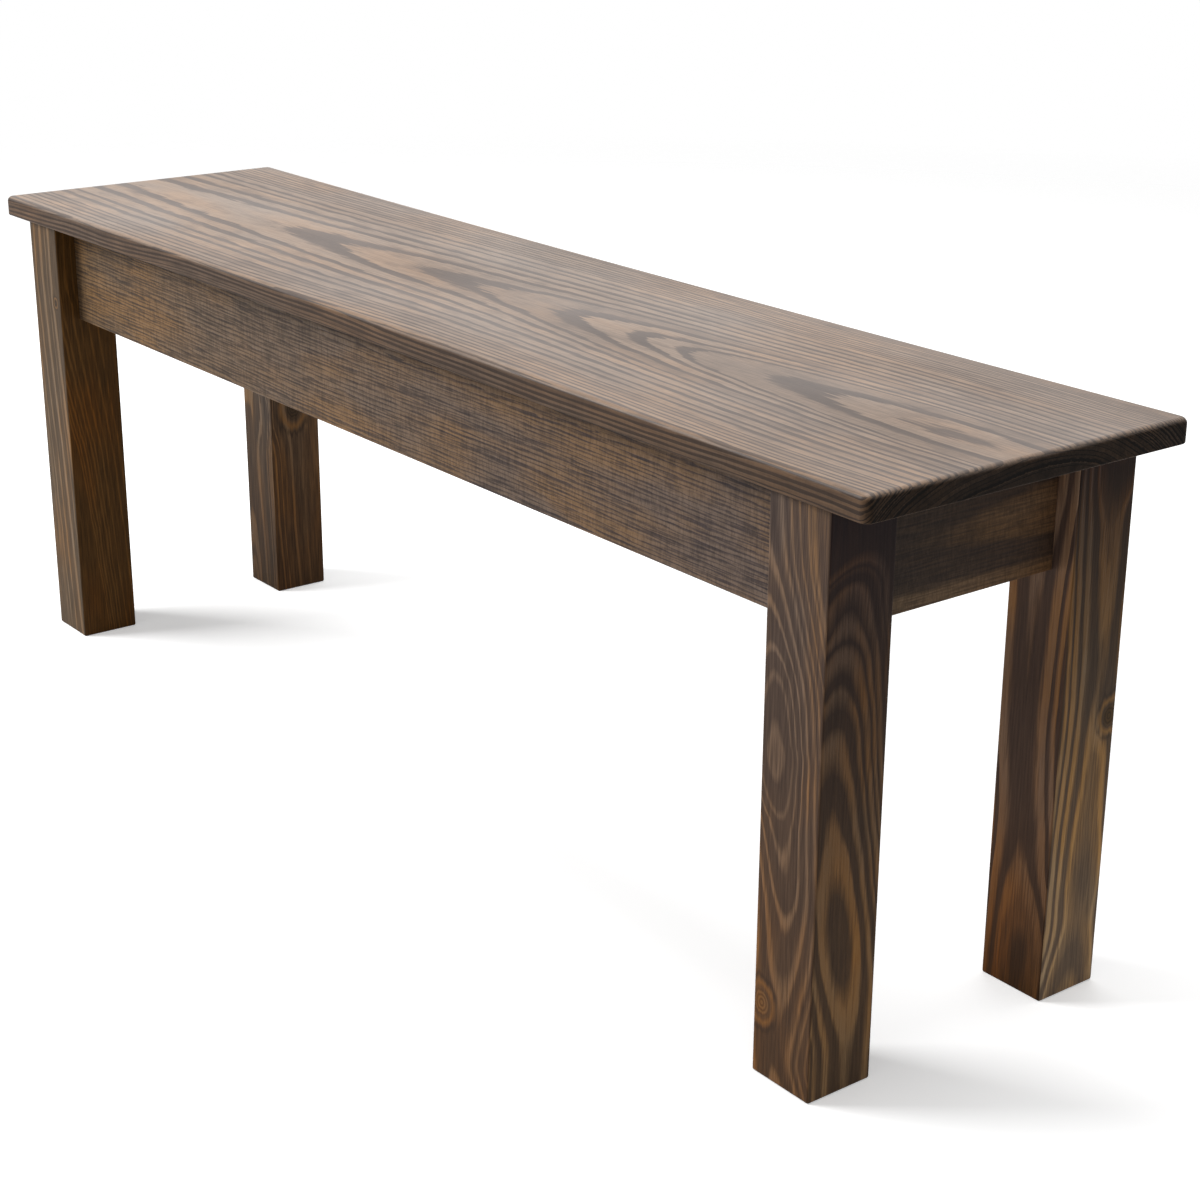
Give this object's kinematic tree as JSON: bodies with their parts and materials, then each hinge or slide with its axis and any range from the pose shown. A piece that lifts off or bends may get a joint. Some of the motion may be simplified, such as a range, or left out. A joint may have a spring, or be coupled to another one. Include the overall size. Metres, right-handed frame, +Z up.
{
  "type": "wooden bench",
  "caption": "Low backless bench: a wide dark stained plank on square legs, joined by aprons set back from the leg faces.",
  "frame": {"origin": "on the floor, under the middle of the seat", "axes": "+X along the bench to the right as seen from the front, +Y to the back, +Z up"},
  "size_m": [1.276, 0.31, 0.457],
  "materials": {
    "stained_pine": "dark walnut stain on flat sawn pine, satin, grain and knots show through",
    "bare_pine": "planed, left bare",
    "beech": "turned, left bare",
    "zinc_steel": "bright zinc plate"
  },
  "bodies": {
    "root": {"seat_board": "stained_pine", "apron_front": "stained_pine", "apron_back": "stained_pine", "apron_left": "stained_pine", "apron_right": "stained_pine", "cross_rail": "stained_pine", "leg_front_left": "stained_pine", "leg_front_right": "stained_pine", "leg_back_left": "stained_pine", "leg_back_right": "stained_pine", "corner_block_front_left": "bare_pine", "corner_block_front_right": "bare_pine", "corner_block_back_left": "bare_pine", "corner_block_back_right": "bare_pine", "cross_rail_dowel_1": "beech", "cross_rail_dowel_2": "beech", "cross_rail_dowel_3": "beech", "cross_rail_dowel_4": "beech", "hanger_bolt_front_left": "zinc_steel", "hanger_bolt_front_right": "zinc_steel", "hanger_bolt_back_left": "zinc_steel", "hanger_bolt_back_right": "zinc_steel", "washer_front_left": "zinc_steel", "washer_front_right": "zinc_steel", "washer_back_left": "zinc_steel", "washer_back_right": "zinc_steel", "nut_front_left": "zinc_steel", "nut_front_right": "zinc_steel", "nut_back_left": "zinc_steel", "nut_back_right": "zinc_steel", "block_screw_front_left_1": "zinc_steel", "block_screw_front_left_2": "zinc_steel", "block_screw_front_left_3": "zinc_steel", "block_screw_front_left_4": "zinc_steel", "block_screw_front_right_1": "zinc_steel", "block_screw_front_right_2": "zinc_steel", "block_screw_front_right_3": "zinc_steel", "block_screw_front_right_4": "zinc_steel", "block_screw_back_left_1": "zinc_steel", "block_screw_back_left_2": "zinc_steel", "block_screw_back_left_3": "zinc_steel", "block_screw_back_left_4": "zinc_steel", "block_screw_back_right_1": "zinc_steel", "block_screw_back_right_2": "zinc_steel", "block_screw_back_right_3": "zinc_steel", "block_screw_back_right_4": "zinc_steel", "cross_rail_screw_1": "zinc_steel", "cross_rail_screw_2": "zinc_steel", "seat_clip_1": "zinc_steel", "seat_clip_2": "zinc_steel", "seat_clip_3": "zinc_steel", "seat_clip_4": "zinc_steel", "seat_clip_5": "zinc_steel", "seat_clip_6": "zinc_steel", "seat_clip_screw_1": "zinc_steel", "seat_clip_screw_2": "zinc_steel", "seat_clip_screw_3": "zinc_steel", "seat_clip_screw_4": "zinc_steel", "seat_clip_screw_5": "zinc_steel", "seat_clip_screw_6": "zinc_steel"}
  },
  "joints": []
}
